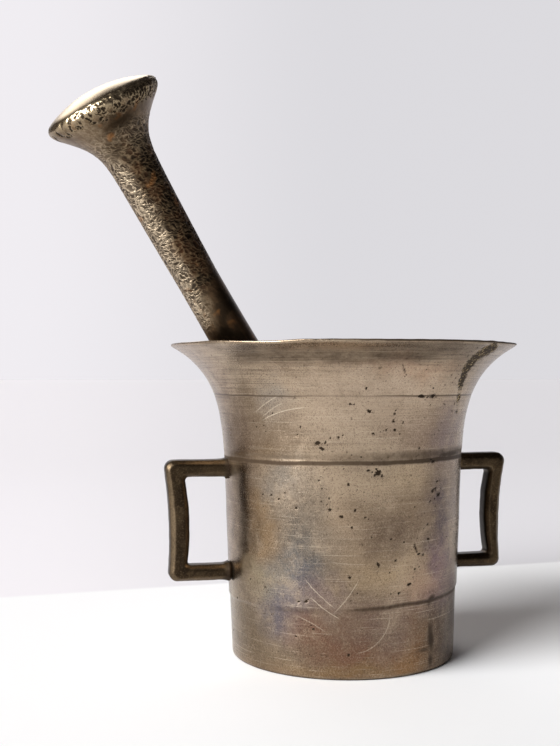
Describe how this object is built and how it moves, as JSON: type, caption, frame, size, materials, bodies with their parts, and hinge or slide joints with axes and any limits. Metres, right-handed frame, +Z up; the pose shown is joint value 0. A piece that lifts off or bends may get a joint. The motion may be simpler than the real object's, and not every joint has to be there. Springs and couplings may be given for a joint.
{
  "type": "apothecary mortar and pestle",
  "caption": "Flared cast brass mortar with two square handles set into its wall, and a loose mushroom-headed pestle leaning over the rim.",
  "frame": {"origin": "middle of the mortar's flat base, on the mortar's axis", "axes": "+Z up along the mortar's axis; the two handles lie along X, handle_right on +X; the pestle leans towards -X and a little towards -Y"},
  "size_m": [0.1752, 0.13, 0.2047],
  "materials": {
    "mortar_brass": "worn satin casting with a mottled brown patina, turned lines, pits and scratches",
    "handle_brass": "darker smooth patina, filed chamfers rubbed to tan",
    "pestle_brass": "hammered shaft with dark hollows, polished dome on the head"
  },
  "bodies": {
    "mortar": {"mortar_body": "mortar_brass", "handle_left": "handle_brass", "handle_right": "handle_brass"},
    "pestle": {"pestle": "pestle_brass"}
  },
  "joints": [
    {"name": "pestle_lift", "type": "slide", "parent": "mortar", "child": "pestle", "axis": [0, 0, 1], "range_m": [0, 0.13]}
  ]
}
